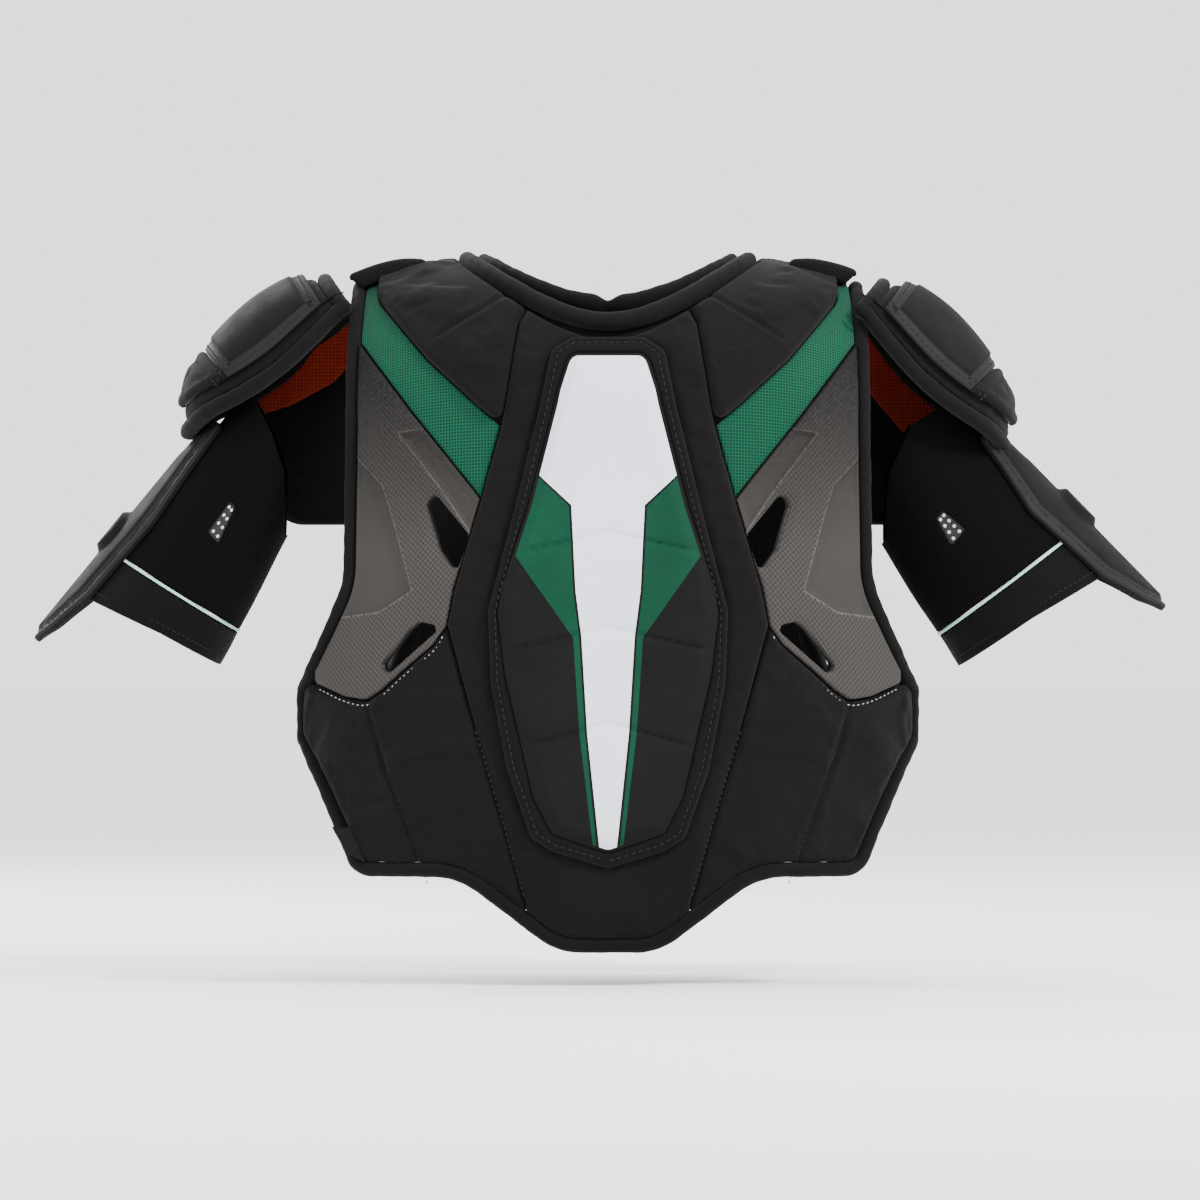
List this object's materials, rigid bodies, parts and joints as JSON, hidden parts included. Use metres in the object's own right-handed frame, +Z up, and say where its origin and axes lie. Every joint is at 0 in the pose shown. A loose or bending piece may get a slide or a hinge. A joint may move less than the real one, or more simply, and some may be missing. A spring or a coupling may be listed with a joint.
{
  "type": "hockey shoulder pads",
  "caption": "Ice hockey shoulder pads: padded back with spine plate, hinged chest, raising shoulder caps, swinging bicep guards and elastic side straps.",
  "frame": {"origin": "centre of the neck opening, level with the shoulder seat", "axes": "+Z up, +X towards the wearer's left, -Y the way the wearer faces"},
  "size_m": [0.7034, 0.2269, 0.4313],
  "materials": {
    "black_knit": "matte knit",
    "green_mesh": "woven mesh",
    "grey_moulded_foam": "fine embossed weave",
    "binding_tape": "ribbed tape",
    "orange_mesh": "woven mesh",
    "mint_piping": "corded piping",
    "charcoal_moulded_shell": "satin",
    "black_plastic_shell": "satin",
    "spine_print": "printed white, green and black, satin",
    "inner_foam": "closed-cell foam",
    "lining_mesh": "open mesh",
    "stretch_mesh": "perforated stretch mesh",
    "elastic_webbing": "woven elastic"
  },
  "bodies": {
    "back": {"back_liner": "lining_mesh", "back_binding": "binding_tape", "centre_back_pad": "black_knit", "spine_frame": "black_knit", "spine_foam": "inner_foam", "spine_plate": "spine_print", "collar_outer_roll": "binding_tape", "collar_inner_roll": "binding_tape", "strap_anchors": "elastic_webbing", "shoulder_tabs": "elastic_webbing", "yoke_pad_left": "black_knit", "yoke_pad_right": "black_knit", "mesh_insert_left": "green_mesh", "mesh_insert_right": "green_mesh", "scapula_plate_left": "grey_moulded_foam", "scapula_plate_right": "grey_moulded_foam", "back_wing_left": "black_knit", "back_wing_right": "black_knit"},
    "chest": {"chest_liner": "lining_mesh", "chest_binding": "binding_tape", "sternum_foam": "inner_foam", "sternum_plate": "black_plastic_shell", "belly_pad": "black_knit", "pec_plate_left": "black_plastic_shell", "pec_plate_right": "black_plastic_shell", "collarbone_pad_left": "black_knit", "collarbone_pad_right": "black_knit", "front_yoke_left": "black_knit", "front_yoke_right": "black_knit", "armpit_pad_left": "black_knit", "armpit_pad_right": "black_knit", "chest_flap_left": "black_knit", "chest_flap_right": "black_knit"},
    "cap_left": {"cap_lining_left": "orange_mesh", "cap_base_left": "black_knit", "cap_binding_left": "binding_tape", "cap_shell_left": "black_plastic_shell", "cap_upper_cover_left": "charcoal_moulded_shell", "cap_lower_cover_left": "black_knit", "bicep_link_left": "elastic_webbing"},
    "bicep_left": {"bicep_sleeve_left": "stretch_mesh", "bicep_piping_left": "mint_piping", "bicep_cuff_left": "black_knit", "bicep_plate_left": "charcoal_moulded_shell"},
    "strap_left": {"side_strap_left": "elastic_webbing", "strap_hook_left": "elastic_webbing"},
    "cap_right": {"cap_lining_right": "orange_mesh", "cap_base_right": "black_knit", "cap_binding_right": "binding_tape", "cap_shell_right": "black_plastic_shell", "cap_upper_cover_right": "charcoal_moulded_shell", "cap_lower_cover_right": "black_knit", "bicep_link_right": "elastic_webbing"},
    "bicep_right": {"bicep_sleeve_right": "stretch_mesh", "bicep_piping_right": "mint_piping", "bicep_cuff_right": "black_knit", "bicep_plate_right": "charcoal_moulded_shell"},
    "strap_right": {"side_strap_right": "elastic_webbing", "strap_hook_right": "elastic_webbing"}
  },
  "joints": [
    {"name": "chest_open", "type": "hinge", "parent": "back", "child": "chest", "pos_m": [0, 0, 0.034], "axis": [-1, 0, 0], "range_deg": [0, 60]},
    {"name": "cap_left_raise", "type": "hinge", "parent": "back", "child": "cap_left", "pos_m": [0.16, 0, 0.002], "axis": [0, -1, 0], "range_deg": [0, 35]},
    {"name": "bicep_left_swing", "type": "hinge", "parent": "cap_left", "child": "bicep_left", "pos_m": [0.25475, 0, -0.08349], "axis": [0, -1, 0], "range_deg": [0, 20]},
    {"name": "strap_left_open", "type": "hinge", "parent": "back", "child": "strap_left", "pos_m": [0.18605, 0.036, -0.268], "axis": [0.3665, 0, 0.9304], "range_deg": [0, 70]},
    {"name": "cap_right_raise", "type": "hinge", "parent": "back", "child": "cap_right", "pos_m": [-0.154, 0, 0.0005], "axis": [0, 1, 0], "range_deg": [0, 35]},
    {"name": "bicep_right_swing", "type": "hinge", "parent": "cap_right", "child": "bicep_right", "pos_m": [-0.2396, 0, -0.09367], "axis": [0, 1, 0], "range_deg": [0, 20]},
    {"name": "strap_right_open", "type": "hinge", "parent": "back", "child": "strap_right", "pos_m": [-0.18605, 0.036, -0.268], "axis": [0.3665, 0, -0.9304], "range_deg": [0, 70]}
  ]
}
